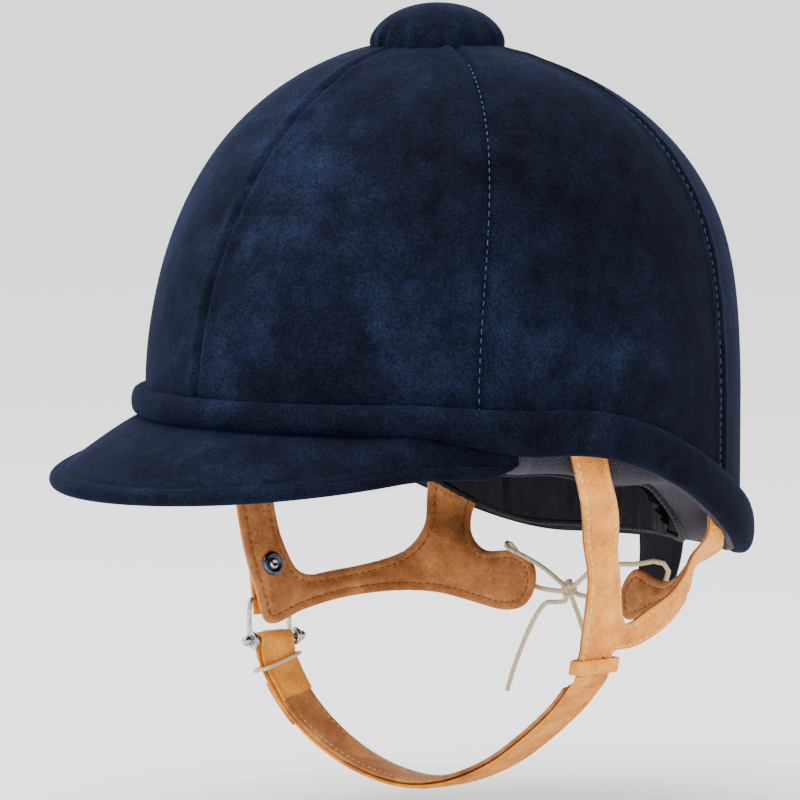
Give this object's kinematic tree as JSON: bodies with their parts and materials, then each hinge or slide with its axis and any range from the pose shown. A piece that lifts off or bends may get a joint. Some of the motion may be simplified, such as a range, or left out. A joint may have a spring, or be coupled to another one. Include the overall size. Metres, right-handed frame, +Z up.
{
  "type": "riding helmet",
  "caption": "Velvet-covered riding helmet with a short peak and covered top button, a tan leather harness laced at the nape and a chin strap with a toggle and wire link.",
  "frame": {"origin": "centre of the headband's oval, level with the top of the rolled rim band under the peak: the middle of the wearer's head circumference", "axes": "+Z up through the top button, -Y forward through the peak, +X towards the wearer's left"},
  "size_m": [0.218, 0.2951, 0.3052],
  "materials": {
    "navy_velvet": "short navy velvet pile",
    "steel_wire": "plain drawn steel",
    "core_board": "pressed fibre board, hidden inside",
    "shell_laminate": "stiff moulded shell, hidden under the velvet",
    "foam": "rigid foam, hidden between shell and lining",
    "lining_cloth": "dark navy lining cloth",
    "woven_grey": "grey twill weave",
    "tan_leather": "undyed tan leather, slightly speckled",
    "tan_lining": "flesh side of the leather, darker",
    "nape_webbing": "dark navy webbing",
    "cream_cord": "cream twisted cord"
  },
  "bodies": {
    "helmet": {"button_core": "core_board", "button_nut": "steel_wire", "button_screw": "steel_wire", "button_washer": "steel_wire", "crown_lining": "lining_cloth", "crown_pad": "lining_cloth", "crown_panel_1": "navy_velvet", "crown_panel_2": "navy_velvet", "crown_panel_3": "navy_velvet", "crown_panel_4": "navy_velvet", "crown_panel_5": "navy_velvet", "crown_panel_6": "navy_velvet", "foam_liner": "foam", "front_left_rivet": "steel_wire", "front_right_rivet": "steel_wire", "headband_pad": "woven_grey", "headband_piping": "lining_cloth", "lace_knot": "cream_cord", "lace_left": "cream_cord", "lace_right": "cream_cord", "lace_tail_front": "cream_cord", "lace_tail_rear": "cream_cord", "left_guard": "tan_leather", "left_guard_lining": "tan_lining", "left_keeper": "tan_leather", "nape_rivet": "steel_wire", "nape_strap": "nape_webbing", "peak_board": "core_board", "peak_cover": "navy_velvet", "peak_lining": "lining_cloth", "peak_piping": "navy_velvet", "press_stud_post": "steel_wire", "rear_left_rivet": "steel_wire", "rear_right_rivet": "steel_wire", "right_guard": "tan_leather", "right_guard_lining": "tan_lining", "rim_band": "navy_velvet", "skull_shell": "shell_laminate", "top_button": "navy_velvet"},
    "chin_strap": {"chin_strap": "tan_leather", "chin_strap_lining": "tan_lining", "chin_strap_backing": "tan_leather"},
    "toggle_bar": {"toggle_bar": "steel_wire"},
    "cord_keeper": {"cord_keeper": "cream_cord"},
    "wire_link": {"wire_link": "steel_wire"},
    "stud_flap": {"stud_flap": "tan_leather", "press_stud_cap": "steel_wire"}
  },
  "joints": [
    {"name": "chin_strap_swing", "type": "hinge", "parent": "helmet", "child": "chin_strap", "pos_m": [0.0793, 0.005, -0.1044], "axis": [0, -1, 0], "range_deg": [0, 100]},
    {"name": "toggle_turn", "type": "hinge", "parent": "chin_strap", "child": "toggle_bar", "pos_m": [-0.0825, -0.0185, -0.1045], "axis": [0, 1, 0], "continuous": true},
    {"name": "keeper_slide", "type": "slide", "parent": "chin_strap", "child": "cord_keeper", "axis": [0.2278, 0.26, -0.9383], "range_m": [0, 0.003]},
    {"name": "link_swing", "type": "hinge", "parent": "helmet", "child": "wire_link", "pos_m": [-0.0855, -0.0185, -0.088], "axis": [0, 1, 0], "range_deg": [0, 25]},
    {"name": "flap_open", "type": "hinge", "parent": "helmet", "child": "stud_flap", "pos_m": [-0.0874, -0.0185, -0.0952], "axis": [0, -1, 0], "range_deg": [0, 70]}
  ],
  "couplings": [
    {"joint": "link_swing", "follows": "chin_strap_swing", "ratio": 0.25}
  ]
}
